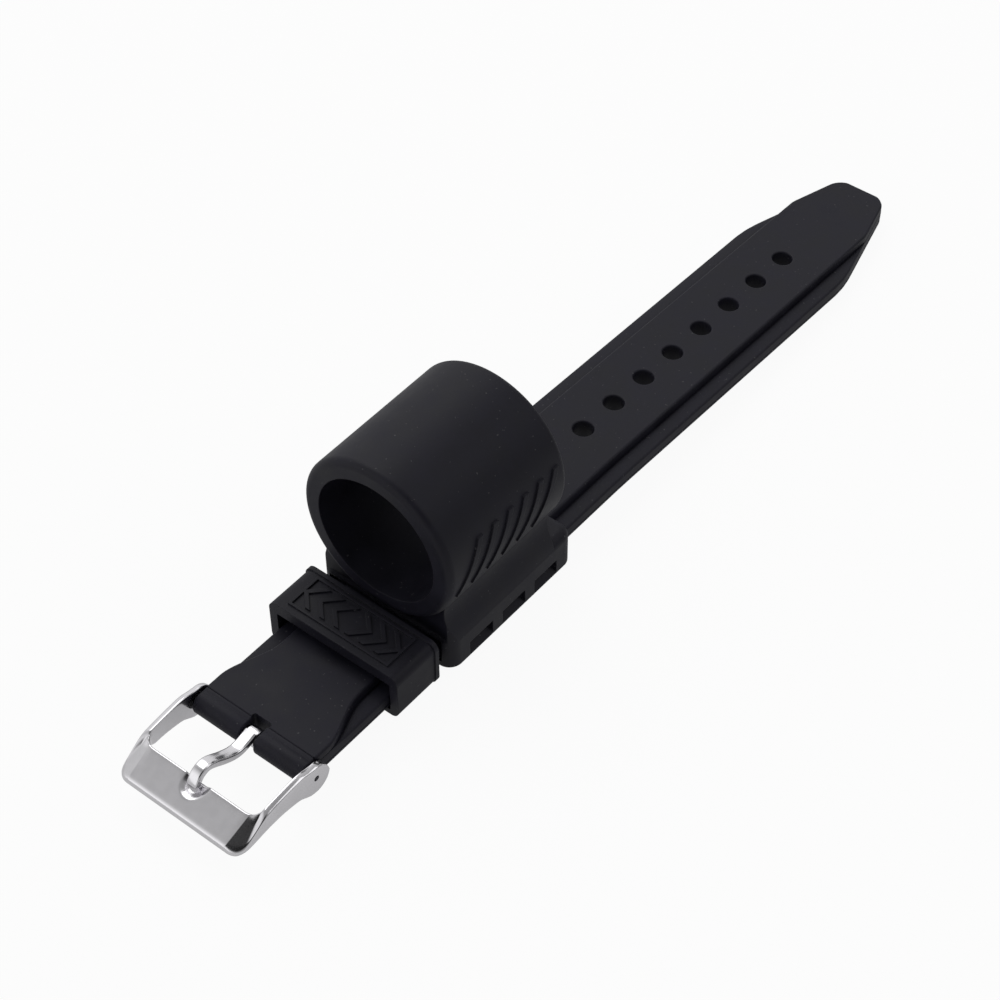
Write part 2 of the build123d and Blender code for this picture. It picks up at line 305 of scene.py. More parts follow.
def strap_section(s):
    """Half of the strap's cross section, from the middle of its underside to the middle of its top."""
    half = outline_half(s)
    band = band_half(s)
    margin = half - band
    share = min(margin / GROOVE_MARGIN, 1.0)
    sink = end_rounding(s, TOP_ROUND)
    rise = end_rounding(s, BOTTOM_ROUND)
    top = STRAP_THICK - sink
    ledge = MARGIN_THICK - sink
    edge = min(EDGE_ROUND, margin * 0.4)
    top_edge = min(TOP_ROUND, band * 0.5)
    side = HOLE_SIDES // 2
    cell = [HOLE_CELL * step / side for step in range(side + 1)]
    if half < TIP_HALF:
        # The tip's rounded corners are narrower than a hole's square of faces.
        cell = [min(value, half * 0.5 * (step + 1) / (side + 1)) for step, value in enumerate(cell)]
        cell[0] = 0.0
    points = [(value, rise) for value in cell]
    points.append((half - BOTTOM_ROUND - SHARP_EDGE, rise))
    points += arc((half - BOTTOM_ROUND, rise + BOTTOM_ROUND), BOTTOM_ROUND, -90, 0, 4)
    # The mould's parting line low on the side wall.
    part = rise + PARTING_HEIGHT
    points += [(half, part - PARTING_HALF), (half - PARTING_DEPTH, part), (half, part + PARTING_HALF)]
    points += arc((half - edge, ledge - edge), edge, 0, 90, 4)
    # The margin, and the fine groove where the band stands up from it.
    groove = GROOVE_WIDTH * share
    groove_floor = ledge - GROOVE_DEPTH * share
    points.append((band + groove + 0.05 * share, ledge))
    points += [(band + groove, ledge), (band + 0.7 * groove, groove_floor)]
    points += [(band + 0.2 * groove, groove_floor), (band + 0.01, ledge - 0.05 * share)]
    points += arc((band - top_edge, top - top_edge), top_edge, 0, 90, 4)
    points.append((band - top_edge - SHARP_EDGE, top))
    points += [(value, top) for value in reversed(cell)]
    return points


def strap_place(s, y, z):
    """A point of the flat strap put in its place: level, then leaning down along the tail."""
    start = TAIL_START - KINK_HALF
    share = min(max((s - start) / (2 * KINK_HALF), 0), 1)
    lean = DROOP * smooth(share)
    # The drop is the lean summed along the strap.
    drop = DROOP * 2 * KINK_HALF * (share ** 3 - share ** 4 / 2)
    drop += sin(DROOP) * max(s - TAIL_START - KINK_HALF, 0)
    x = s - max(s - TAIL_START, 0) * (1 - cos(DROOP))
    return (x + z * sin(lean), y, STRAP_BASE - drop + z * cos(lean))


def strap_stations(start, end):
    """Distances along the strap where it has a cross section."""
    marks = {start, end}
    holes = [hole for hole in hole_places() if start < hole < end]
    for hole in holes:
        for step in range(HOLE_SIDES + 1):
            marks.add(hole - HOLE_CELL + 2 * HOLE_CELL * step / HOLE_SIDES)
    for radius, edge, inward in (
        (TIP_CORNER, TIP_END, -1),
        (TOP_ROUND, TIP_END, -1),
        (SHOULDER_CORNER, SHOULDER_X, 1),
        (TOP_ROUND, SHOULDER_X, 1),
    ):
        for step in range(ROUND_STEPS + 1):
            mark = edge + inward * radius * (1 - sin(pi / 2 * step / ROUND_STEPS))
            if start <= mark <= end:
                marks.add(mark)
    bend = joint_places["buckle_end_bend"].x
    plain = start
    while plain < end:
        near_hole = any(abs(plain - hole) < HOLE_CELL + 0.2 for hole in holes)
        if not near_hole:
            marks.add(plain)
        plain += BEND_STEP if abs(plain - bend) < 2.5 else PLAIN_STEP
    ordered = []
    for mark in sorted(marks):
        if not ordered or mark - ordered[-1] > 0.004:
            ordered.append(mark)
    ordered[-1] = end
    return ordered


def hole_places():
    """Distances of the tongue holes along the strap."""
    return [TAIL_START + HOLE_PITCH * (number + 0.5) for number in range(HOLE_COUNT)]


def strap_length(name, start, end):
    """One length of the strap, closed at both ends, with its tongue holes."""
    builder = bmesh.new()
    stations = strap_stations(start, end)
    rows = []
    for s in stations:
        right = strap_section(s)
        left = [(-y, z) for y, z in reversed(right[1:-1])]
        rows.append([builder.verts.new(strap_place(s, y, z)) for y, z in right + left])
    half_count = len(strap_section(start))
    side = HOLE_SIDES // 2
    bottom_columns = set(range(-side, side))
    top_columns = set(range(half_count - 1 - side, half_count - 1 + side))
    total = len(rows[0])
    open_columns = {column % total for column in bottom_columns} | top_columns
    holes = [hole for hole in hole_places() if start < hole < end]
    for index, (first, second) in enumerate(zip(rows, rows[1:])):
        middle = (stations[index] + stations[index + 1]) / 2
        in_cell = any(abs(middle - hole) < HOLE_CELL for hole in holes)
        for column in range(total):
            if in_cell and column in open_columns:
                continue
            following = (column + 1) % total
            builder.faces.new((first[column], first[following], second[following], second[column]))
    builder.faces.new(rows[0])
    builder.faces.new(rows[-1])
    for hole in holes:
        cut_hole(builder, hole, rows, stations, half_count, total)
    return finish_mesh(name, builder)


def cut_hole(builder, hole, rows, stations, half_count, total):
    """Joins the square openings on both faces of the strap with a round hole."""
    side = HOLE_SIDES // 2
    first = min(range(len(stations)), key=lambda index: abs(stations[index] - (hole - HOLE_CELL)))
    rings = []
    for centre_column in (0, half_count - 1):
        columns = [(centre_column + offset) % total for offset in range(-side, side + 1)]
        if centre_column:
            columns.reverse()
        square = [rows[first + step][columns[0]] for step in range(HOLE_SIDES)]
        square += [rows[first + HOLE_SIDES][column] for column in columns[:-1]]
        square += [rows[first + HOLE_SIDES - step][columns[-1]] for step in range(HOLE_SIDES)]
        square += [rows[first][column] for column in reversed(columns[1:])]
        rings.append(square)
    count = len(rings[0])
    bottom = [(HOLE_RADIUS + HOLE_RIM + 0.05, 0.0)]
    for step in range(5):
        turn = pi / 8 * step
        bottom.append((HOLE_RADIUS + HOLE_RIM * (1 - sin(turn)), HOLE_RIM * (1 - cos(turn))))
    top = [(radius, STRAP_THICK - depth) for radius, depth in reversed(bottom)]
    previous = rings[0]
    for radius, height in bottom + top:
        ring = []
        for index in range(count):
            angle = radians(225 + 360 * index / count)
            ring.append(builder.verts.new(
                strap_place(hole + radius * cos(angle), radius * sin(angle), height)
            ))
        bridge(builder, previous, ring)
        previous = ring
    bridge(builder, previous, rings[1])


def cut_notch(piece):
    """The notch behind the bar, where the tongue swings up."""
    builder = bmesh.new()
    size = (2 * (NOTCH_END - SHOULDER_X), 2 * NOTCH_HALF, 4 * STRAP_THICK)
    place = Matrix.Translation((SHOULDER_X, 0, BAR.z)) @ Matrix.Diagonal((*size, 1))
    bmesh.ops.create_cube(builder, size=1, matrix=place)
    corners = [edge for edge in builder.edges if abs(edge.verts[0].co.z - edge.verts[1].co.z) > 1]
    bmesh.ops.bevel(builder, geom=corners, offset=NOTCH_CORNER, segments=4, affect="EDGES", profile=0.5)
    cut_away(piece, builder)


def strap_roll(name):
    """The two halves of the strap end that is rolled round the spring bar."""
    builder = bmesh.new()
    radius = STRAP_THICK / 2
    top = BAR.z + radius
    bottom = BAR.z - radius
    groove_x = BAR.x + ROLL_GROOVE
    outline = [(SHOULDER_X, bottom), (SHOULDER_X, top)]
    outline += [(groove_x + 0.22, top), (groove_x + 0.08, top - 0.06), (groove_x - 0.08, top - 0.06)]
    outline += [(groove_x - 0.22, top)]
    outline += arc((BAR.x, BAR.z), radius, 90, 270, 28)
    bore = arc((BAR.x, BAR.z), barrel_high.z - BAR.z + BORE_GAP, 360, 0, 24)[:-1]
    for side in (-1, 1):
        low, high = sorted((side * ROLL_SLOT, side * ROLL_HALF))
        slab(builder, outline, [bore], low, high, ROLL_RIM, lambda x, z, y: (x, y, z))
    return finish_mesh(name, builder, 50)


seams = [TAIL_START + LINK * (number + 0.5) for number in range(LINK_COUNT)]
bend_x = joint_places["buckle_end_bend"].x
buckle_bend = (bend_x - BEND_HALF, bend_x + BEND_HALF)
lengths = [
    ("strap_buckle_length", SHOULDER_X, 0.0, ("buckle_end", "strap"), buckle_bend),
    ("strap_holder_length", 0.0, seams[0], ("strap", "tail_1"), (TAIL_START - 3.0, TAIL_START + 6.0)),
    ("strap_holed_length_1", seams[0], seams[1], ("tail_1", "tail_2"), (seams[0], seams[1])),
    ("strap_holed_length_2", seams[1], seams[2], ("tail_2", "tail_3"), (seams[1], seams[2])),
    ("strap_holed_length_3", seams[2], seams[3], ("tail_3", "tail_4"), (seams[2], seams[3])),
    ("strap_tip_length", seams[3], TIP_END, ("tail_4", "tip"), (seams[3], 2 * TIP_START - seams[3])),
]
stands_for = [
    ("strap_buckle_end",),
    ("strap_middle",),
    ("strap_tail_1",),
    ("strap_tail_2",),
    ("strap_tail_3",),
    ("strap_tail_4", "strap_tip"),
]
strap_pieces = []
for (name, start, end, bodies, zone), nodes in zip(lengths, stands_for):
    piece = strap_length(name, start, end)
    if name == "strap_buckle_length":
        cut_notch(piece)
    middle_height = STRAP_THICK / 2
    zone_start = Vector(strap_place(zone[0], 0, middle_height)) * MM
    zone_end = Vector(strap_place(zone[1], 0, middle_height)) * MM
    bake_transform(piece)
    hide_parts(*nodes)
    strap_pieces.append(piece)

roll = strap_roll("strap_rolled_end")
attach(roll, "buckle_end")
strap_pieces.append(roll)


# ---- buckle frame -------------------------------------------------------------------
# Reach is measured from the spring bar, away from the strap, and heights from the bar.
SHEET = 1.2
FRAME_HALF = frame_high.y
ARM_INNER = FRAME_HALF - SHEET
REACH = BAR.x - frame_low.x
WINDOW = 11.5
WINDOW_CORNER = 2.0
EAR_RADIUS = 2.8
EAR_DROP = 0.45
PIN_HOLE = 0.5
OUTER_CORNER = 2.3
FACET_START = 25  # degrees round the window's corner where the slanted facet starts and ends
FACET_END = 65
FACET_SHARE = 0.45  # how much of the plate's section the frame has where the facet starts
FACET_LEAD = 0.25  # share of the outer corner's bend that lies before the facet
FACET_LAG = 0.3  # how far past the outer corner the facet ends, along the plate's edge
FACET_SIDE = -1.1  # height of the facet where it meets the frame's side
PLATE_FAN = 1.8  # travel along the plate's edge from the facet to the end of the window's corner
REST_RADIUS = 2.6
REST_DEPTH = 0.6
REST_CENTRE = WINDOW + 0.6
REST_STEEPNESS = 1.6
SHEET_ROUND = 0.32  # radius of the sheet's edges
SIDE_DRAW = 0.1  # how far the frame's sides draw in towards the outer corners
EAR_STEPS = 14
EAR_FIRST = 3  # degrees from the ear's end to its first section
ARM_STEPS = 14
FINE_STEP = 0.16  # between sections at the tongue's rest, and elsewhere on the plate
COARSE_STEP = 0.6

arm_top = curve_through(
    [(0, EAR_RADIUS - EAR_DROP), (1.4, 2.6), (2.8, 2.9), (5.0, 2.8), (9.2, 2.3), (12.5, 1.5)], 6
)
arm_bottom = curve_through(
    [
        (0, -EAR_RADIUS - EAR_DROP),
        (1.4, -3.0),
        (2.6, -2.3),
        (3.6, -1.75),
        (5.5, -1.4),
        (8, -1.2),
        (12.5, -1.4),
    ],
    6,
)


def along_line(line, place):
    """Second value of a line of pairs at the place given by the first value."""
    for first, second in zip(line, line[1:]):
        if first[0] <= place <= second[0]:
            share = (place - first[0]) / max(second[0] - first[0], 1e-6)
            return first[1] + share * (second[1] - first[1])
    return line[-1][1]


def arm_keys(reach):
    """Corners of the arm's section: how far across the sheet, and the height."""
    if reach < 0:
        rise = sqrt(max(EAR_RADIUS ** 2 - reach ** 2, 0))
        top, low = rise - EAR_DROP, -rise - EAR_DROP
    else:
        top, low = along_line(arm_top, reach), along_line(arm_bottom, reach)
    soft = min(1.0, (top - low) / 2)
    return [
        Vector((0.25, low)),
        Vector((0.0, low + 0.15 * soft)),
        Vector((0.0, top - 0.15 * soft)),
        Vector((0.12, top)),
        Vector((0.45, top - 0.08 * soft)),
        Vector((0.85, top - 0.26 * soft)),
        Vector((1.0, top - 0.5 * soft)),
        Vector((1.0, low + 0.2 * soft)),
        Vector((0.85, low)),
        Vector((0.65, low)),
        Vector((0.45, low)),
    ]


plate_keys = [
    Vector((0.06, 0.35)),
    Vector((0.0, 0.6)),
    Vector((0.0, 1.4)),
    Vector((0.03, 1.56)),
    Vector((0.09, 1.44)),
    Vector((0.95, -0.72)),
    Vector((1.0, -1.0)),
    Vector((0.99, -2.25)),
    Vector((0.83, -2.35)),
    Vector((0.79, -1.75)),
    Vector((0.22, 0.0)),
]
TOP_KEY = 4  # the key where the long slope starts
LIP_KEY = 7  # the first key of the lip's lower edge
LIP_LEAD = 1.5  # how much sooner the lower edge takes the plate's shape than the top
LIP_TURN = (0.0, 0.0, 0.28)  # how far the keys from the slope to the lip lie below the facet
SLOPE_STEPS = 14
TOP_POINTS = range(6, 3 * (TOP_KEY + 2) + SLOPE_STEPS)  # the rounded section's points on the top face


def rounded(keys, radius):
    """The closed outline with each corner rounded by three points, and the slope divided."""
    line = []
    for index, here in enumerate(keys):
        before = keys[index - 1]
        after = keys[(index + 1) % len(keys)]
        start = here + (before - here).normalized() * min(radius, (before - here).length * 0.4)
        end = here + (after - here).normalized() * min(radius, (after - here).length * 0.4)
        line += [start, (start + end) / 4 + here / 2, end]
        if index == TOP_KEY:
            following = after + (here - after).normalized() * min(radius, (after - here).length * 0.4)
            line += [end.lerp(following, step / SLOPE_STEPS) for step in range(1, SLOPE_STEPS)]
    return line


def frame_section(inner, outer, share, reach, facet=0.0):
    """One section of the frame, between its inner and outer edge in plan."""
    inner = Vector(inner)
    outer = Vector(outer)
    width = (outer - inner).length
    keys = []
    for index, (arm_key, plate_key) in enumerate(zip(arm_keys(reach), plate_keys)):
        key = arm_key.lerp(plate_key, min(LIP_LEAD * share, 1) if index >= LIP_KEY else share)
        if TOP_KEY <= index < LIP_KEY:
            key.y += facet * (facet_height(inner.lerp(outer, key.x)) - LIP_TURN[index - TOP_KEY] - key.y)
        keys.append(Vector((key.x * width, key.y)))
    points = []
    for index, point in enumerate(rounded(keys, SHEET_ROUND)):
        plan = inner.lerp(outer, point.x / width)
        away = hypot(plan.x - REST_CENTRE, plan.y) / REST_RADIUS
        sink = REST_DEPTH * smooth(REST_STEEPNESS * (1 - away)) if index in TOP_POINTS else 0.0
        points.append((BAR.x - plan.x, plan.y, BAR.z + point.y - sink))
    return points


def corner_inner(angle):
    """Inner edge of the frame for an angle round the window's corner, in plan."""
    turn = radians(angle)
    reach = WINDOW - WINDOW_CORNER * (1 - sin(turn))
    return Vector((reach, ARM_INNER - WINDOW_CORNER * (1 - cos(turn))))


def corner_outer(angle):
    """Outer edge of the frame for an angle round the window's corner, in plan."""
    start = WINDOW - WINDOW_CORNER
    centre = Vector((REACH - OUTER_CORNER, FRAME_HALF - SIDE_DRAW - OUTER_CORNER))
    straight = centre.x - start
    bend = pi / 2 * OUTER_CORNER
    facet_start = straight + FACET_LEAD * bend
    facet_end = straight + bend + FACET_LAG
    travels = [(0, 0), (FACET_START, facet_start), (FACET_END, facet_end), (90, facet_end + PLATE_FAN)]
    travel = along_line(travels, angle)
    if travel < straight:
        return Vector((start + travel, FRAME_HALF - SIDE_DRAW * (travel / straight) ** 2))
    if travel < straight + bend:
        turn = pi / 2 - (travel - straight) / OUTER_CORNER
        return centre + OUTER_CORNER * Vector((cos(turn), sin(turn)))
    return Vector((REACH, centre.y - (travel - straight - bend)))


def facet_height(plan):
    """Height of the corner's flat facet: it starts on the plate's slope and sinks to the side."""
    inner, outer = corner_inner(FACET_END), corner_outer(FACET_END)
    top_key, foot_key = plate_keys[TOP_KEY], plate_keys[TOP_KEY + 1]
    top = inner.lerp(outer, top_key.x).to_3d() + Vector((0, 0, top_key.y))
    foot = inner.lerp(outer, foot_key.x).to_3d() + Vector((0, 0, foot_key.y))
    side = corner_outer(FACET_START).to_3d() + Vector((0, 0, FACET_SIDE))
    normal = (foot - top).cross(side - top)
    return top.z - normal.xy.dot(plan - top.xy) / normal.z


def arm_sections():
    """Sections from the ear's end to the window's corner, on the side of positive Y."""
    ear_angles = [EAR_FIRST]
    ear_angles += [EAR_FIRST + (90 - EAR_FIRST) * step / EAR_STEPS for step in range(2, EAR_STEPS + 1)]
    reaches = [-EAR_RADIUS * cos(radians(angle)) for angle in ear_angles]
    arm_length = WINDOW - WINDOW_CORNER
    reaches += [arm_length * step / ARM_STEPS for step in range(1, ARM_STEPS)]
    return [frame_section((reach, ARM_INNER), (reach, FRAME_HALF), 0.0, reach) for reach in reaches]


def corner_sections():
    """Sections round the window's corner, with the slanted facet outside it."""
    angles = set(range(0, FACET_START, 2)) | set(range(FACET_START, FACET_END, 2))
    angles |= set(range(FACET_END, 91, 5))
    angles |= {FACET_START - 1, FACET_START + 1, FACET_END - 1, FACET_END + 1, 90}
    sections = []
    for angle in sorted(angles):
        inner = corner_inner(angle)
        if angle < FACET_START:
            share = FACET_SHARE * smooth(angle / FACET_START)
        else:
            past = (angle - FACET_START) / (FACET_END - FACET_START)
            share = min(FACET_SHARE + (1 - FACET_SHARE) * past, 1)
        facet = smooth(angle / FACET_START) if angle <= FACET_END else 0.0
        sections.append(frame_section(inner, corner_outer(angle), share, inner.x, facet))
    return sections


def plate_sections():
    """Sections from the window's corner to the middle of the plate."""
    y = ARM_INNER - WINDOW_CORNER
    outer_share = corner_outer(90).y / y
    sections = []
    while y > 0:
        y -= FINE_STEP if y < REST_RADIUS + 0.5 else COARSE_STEP
        here = max(y, 0)
        sections.append(frame_section((WINDOW, here), (REACH, here * outer_share), 1.0, WINDOW))
    return sections


def drill(piece, places, radius, depth):
    """Cuts round holes along Y through a piece, at places given in millimetres."""
    for place in places:
        builder = bmesh.new()
        turn = Matrix.Translation(place) @ Matrix.Rotation(pi / 2, 4, "X")
        bmesh.ops.create_cone(
            builder, cap_ends=True, segments=32, radius1=radius, radius2=radius, depth=depth, matrix=turn
        )
        cut_away(piece, builder)


def buckle_frame(name):
    """The stamped and bent frame: two arms with ears, joined by the sloping cross plate."""
    builder = bmesh.new()
    half = arm_sections() + corner_sections() + plate_sections()
    other = [[(x, -y, z) for x, y, z in section] for section in reversed(half[:-1])]
    rows = [[builder.verts.new(point) for point in section] for section in half + other]
    for first, second in zip(rows, rows[1:]):
        bridge(builder, first, second)
    builder.faces.new(rows[0])
    builder.faces.new(rows[-1])
    piece = finish_mesh(name, builder, 30)
    ears = [(BAR.x, side * (FRAME_HALF - SHEET / 2), BAR.z) for side in (-1, 1)]
    drill(piece, ears, PIN_HOLE, 2 * SHEET)
    return piece


steel_frame = buckle_frame("buckle_frame_steel")
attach(steel_frame, "buckle")
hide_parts("buckle_frame")


# ---- buckle tongue ------------------------------------------------------------------
TONGUE_HALF = 1.1
TONGUE_EYE = 1.5
TONGUE_THICK = 1.25
TONGUE_TAPER = 0.12
TONGUE_CORNER = 0.34
TONGUE_END = 5  # steps over which the blade's end closes
EYE_RIM = 0.25
EYE_GAP = 0.06
tongue_path = curve_through(
    [
        (0.4, 1.3),
        (1.8, 0.9),
        (3.3, 0.6),
        (4.8, 0.8),
        (6.8, 1.75),
        (9.2, 3.2),
        (10.5, 3.45),
        (11.7, 2.95),
        (12.5, 1.95),
        (12.85, 1.15),
    ],
    6,
)


def tongue_outline(index, count):
    """Cross section of the blade, which is narrower and thinner at its end."""
    close = smooth((count - 1 - index) / TONGUE_END)
    half = (TONGUE_HALF - TONGUE_TAPER * index / count) * (0.72 + 0.28 * close)
    thick = TONGUE_THICK / 2 * (0.55 + 0.45 * close)
    across, up = half - TONGUE_CORNER, thick - TONGUE_CORNER
    outline = []
    for quarter, centre in enumerate(((across, up), (-across, up), (-across, -up), (across, -up))):
        outline += arc(centre, TONGUE_CORNER, 90 * quarter, 90 * quarter + 90, 4)
    return outline


def tongue_place(along, across, up):
    """A point given from the bar: away from the strap, across it and upwards."""
    return (BAR.x - along, across, BAR.z + up)


def buckle_tongue(name):
    """The tongue: an eye round the bar and an S-bent blade that rests on the plate."""
    builder = bmesh.new()
    eye = arc((0, 0), TONGUE_EYE, 0, 360, 40)[:-1]
    bore = arc((0, 0), barrel_high.z - BAR.z + EYE_GAP, 360, 0, 24)[:-1]

    def eye_place(along, up, across):
        return tongue_place(along, across, up)

    slab(builder, eye, [bore], -TONGUE_HALF, TONGUE_HALF, EYE_RIM, eye_place)
    count = len(tongue_path)
    rows = []
    for index, point in enumerate(tongue_path):
        behind = Vector(tongue_path[max(index - 1, 0)])
        ahead = Vector(tongue_path[min(index + 1, count - 1)]) - behind
        normal = Vector((-ahead.y, ahead.x)).normalized()
        row = []
        for across, up in tongue_outline(index, count):
            place = tongue_place(point[0] + normal.x * up, across, point[1] + normal.y * up)
            row.append(builder.verts.new(place))
        rows.append(row)
    for first, second in zip(rows, rows[1:]):
        bridge(builder, first, second)
    builder.faces.new(rows[0])
    builder.faces.new(rows[-1])
    return finish_mesh(name, builder, 50)


tongue = buckle_tongue("buckle_tongue_steel")
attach(tongue, "tongue")
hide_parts("buckle_tongue")


# ---- spring in the bar --------------------------------------------------------------
SPRING_WIRE = 0.15  # radius
SPRING_COILS = 7  # in each half
SPRING_SIDES = 8
COIL_STEPS = 24
spring_low, spring_high = box("spring_bar_spring")


def spring_half(name, side):
    """Half of the spring, from the middle of the bar to the pin on one side."""
    builder = bmesh.new()
    coil_radius = (spring_high.z - spring_low.z) / 2 - SPRING_WIRE
    length = spring_high.y - SPRING_WIRE
    steps = COIL_STEPS * SPRING_COILS
    rows = []
    for step in range(steps + 1):
        turn = 2 * pi * SPRING_COILS * step / steps
        outward = Vector((cos(turn), 0, sin(turn)))
        centre = BAR + outward * coil_radius + Vector((0, side * length * step / steps, 0))
        row = []
        for corner in range(SPRING_SIDES):
            angle = 2 * pi * corner / SPRING_SIDES
            along = Vector((0, SPRING_WIRE * sin(angle), 0))
            row.append(builder.verts.new(centre + outward * SPRING_WIRE * cos(angle) + along))
        rows.append(row)
    for first, second in zip(rows, rows[1:]):
        bridge(builder, first, second)
    builder.faces.new(rows[0])
    builder.faces.new(rows[-1])
    return finish_mesh(name, builder, 60)


spring_halves = []
for side_name, side in (("left", 1), ("right", -1)):
    half = spring_half(f"bar_spring_{side_name}_half", side)
    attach(half, "buckle_end")
    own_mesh(half)
    spring_halves.append(half)
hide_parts("spring_bar_spring")


# ---- materials ----------------------------------------------------------------------
DUST_TONE = (0.07, 0.07, 0.075, 1.0)
RUBBER_SPECULAR = 0.2
RUBBER_GRAIN = 0.16  # millimetres
STEEL_LINES = 2.4  # length of the fine lines, in millimetres


class Nodes:
    """Small helper that adds and links shader nodes."""

    def __init__(self, name):
        self.material = bpy.data.materials.new(name)
        self.material.use_nodes = True
        self.tree = self.material.node_tree
        self.shader = next(node for node in self.tree.nodes if node.type == "BSDF_PRINCIPLED")
        self.place = self.add("ShaderNodeTexCoord").outputs["Object"]

    def add(self, kind, **inputs):
        node = self.tree.nodes.new(kind)
        for key, value in inputs.items():
            self.set(node.inputs[key], value)
        return node

    def set(self, socket, value):
        if isinstance(value, bpy.types.NodeSocket):
            self.tree.links.new(value, socket)
        else:
            socket.default_value = value

    def noise(self, scale, detail=3.0, roughness=0.55):
        """Noise whose size is given in millimetres."""
        node = self.add("ShaderNodeTexNoise", Scale=1 / (scale * MM), Detail=detail, Roughness=roughness)
        self.set(node.inputs["Vector"], self.place)
        return node.outputs["Fac"]

    def spread(self, value, low, high, to_low, to_high):
        """Maps a range of one value on to another, clamped."""
        node = self.tree.nodes.new("ShaderNodeMapRange")
        for socket, number in zip(node.inputs, (value, low, high, to_low, to_high)):
            self.set(socket, number)
        return node.outputs["Result"]

    def mix(self, share, first, second):
        node = self.tree.nodes.new("ShaderNodeMix")
        node.data_type = "RGBA"
        self.set(node.inputs["Factor"], share)
        self.set(node.inputs["A"], first)
        self.set(node.inputs["B"], second)
        return node.outputs["Result"]

    def edges(self, radius, samples=4):
        """Normals that round the sharp edges a little."""
        node = self.tree.nodes.new("ShaderNodeBevel")
        node.samples = samples
        node.inputs["Radius"].default_value = radius * MM
        return node.outputs["Normal"]

    def bump(self, height, strength, depth, normal=None):
        node = self.add("ShaderNodeBump", Strength=strength, Distance=depth * MM, Height=height)
        if normal is not None:
            self.set(node.inputs["Normal"], normal)
        return node.outputs["Normal"]


def rubber(name, tone, edge_radius=0.0):
    """Satin moulded rubber: faint mottling, fine grain, a little dust."""
    nodes = Nodes(name)
    mottle = nodes.noise(6.0)
    grain = nodes.noise(RUBBER_GRAIN, detail=2.0)
    dust = nodes.noise(0.55, detail=1.0, roughness=0.4)
    dust_share = nodes.spread(dust, 0.74, 0.78, 0.0, 0.6)
    dark = tuple(value * 0.82 for value in tone) + (1.0,)
    light = tuple(value * 1.2 for value in tone) + (1.0,)
    shade = nodes.mix(nodes.spread(mottle, 0.35, 0.65, 0.0, 1.0), dark, light)
    colour = nodes.mix(dust_share, shade, DUST_TONE)
    normal = nodes.edges(edge_radius) if edge_radius else None
    nodes.set(nodes.shader.inputs["Base Color"], colour)
    nodes.set(nodes.shader.inputs["Roughness"], nodes.spread(mottle, 0.3, 0.7, 0.46, 0.58))
    nodes.set(nodes.shader.inputs["Normal"], nodes.bump(grain, 0.35, 0.02, normal))
    nodes.set(nodes.shader.inputs["Specular IOR Level"], RUBBER_SPECULAR)
    return nodes.material


def steel(name, tone, roughness, edge_radius=0.0):
    """Stainless steel: soft polish with fine lines and a trace of handling marks."""
    nodes = Nodes(name)
    stretch = nodes.add("ShaderNodeMapping")
    nodes.set(stretch.inputs["Vector"], nodes.place)
    stretch.inputs["Scale"].default_value = (1.0, 14.0, 14.0)
    lines = nodes.add("ShaderNodeTexNoise", Scale=1 / (STEEL_LINES * MM), Detail=4.0)
    nodes.set(lines.inputs["Vector"], stretch.outputs["Vector"])
    marks = nodes.noise(1.8)
    nodes.set(nodes.shader.inputs["Metallic"], 1.0)
    dark = tuple(value * 0.97 for value in tone) + (1.0,)
    light = tuple(tone) + (1.0,)
    colour = nodes.mix(nodes.spread(marks, 0.4, 0.6, 0, 1), dark, light)
    nodes.set(nodes.shader.inputs["Base Color"], colour)
    nodes.set(
        nodes.shader.inputs["Roughness"],
        nodes.spread(marks, 0.3, 0.7, roughness * 0.92, roughness * 1.08),
    )
    normal = nodes.edges(edge_radius) if edge_radius else None
    nodes.set(nodes.shader.inputs["Normal"], nodes.bump(lines.outputs["Fac"], 0.06, 0.006, normal))
    return nodes.material


def dress(piece, material):
    """Gives a piece its material."""
    piece.data.materials.clear()
    piece.data.materials.append(material)


strap_rubber = rubber("strap_rubber_satin", (0.0100, 0.0096, 0.0165))
holder_rubber = rubber("holder_rubber_satin", (0.0088, 0.0084, 0.0145), edge_radius=0.22)
keeper_rubber = rubber("keeper_rubber_satin", (0.0090, 0.0086, 0.0145), edge_radius=0.15)
polished_steel = steel("buckle_steel", (0.76, 0.75, 0.775), 0.17)
# The bar's steel is toned dark as painted shade, for the pin ends deep in the ear holes and the bar showing
# beside the tongue.
bar_steel_painted_dark = steel("bar_steel_dark_painted_shade", (0.22, 0.22, 0.23), 0.35, edge_radius=0.05)

for piece in strap_pieces:
    dress(piece, strap_rubber)
dress(frame["nodes"]["ring_holder"], holder_rubber)
dress(frame["nodes"]["keeper_loop"], keeper_rubber)
dress(steel_frame, polished_steel)
dress(tongue, polished_steel)
for node in ("spring_bar_barrel", "spring_bar_pin_left", "spring_bar_pin_right"):
    dress(frame["nodes"][node], bar_steel_painted_dark)
for half in spring_halves:
    dress(half, bar_steel_painted_dark)


# ---- floor, light and camera --------------------------------------------------------
CAMERA_AZIMUTH = -50.827
CAMERA_ELEVATION = 46.643
CAMERA_ROLL = -0.496
CAMERA_PLACE = (-190.4, -165.8, 284.2)
CAMERA_FILM = 36.0
CAMERA_LENS = 85.93
FLOOR_HALF = 3000
FLOOR_GAP = 0.2  # below the lowest point of the object
FLOOR_WHITE = 1.02
FLOOR_GLOW = 0.92
FLOOR_BOUNCE = 0.35  # strength of the light that the sheet throws back on the object
FLOOR_MIRRORED = 0.75  # strength of its glow where something shiny mirrors it
BRIGHT_SIDE = (0.6, 0.7, 0.4)  # direction of the brightest part of the room
LOW_GLOW = (-0.9, 0.43, 0.12)  # direction of a low window beyond the buckle
ROOM_DIM = 0.33  # strength of the room's light away from its bright side
ROOM_BRIGHT = 0.85
GLOW_BRIGHT = 0.8
CAMERA_DARK = 0.05  # share of the light that is left right behind the camera


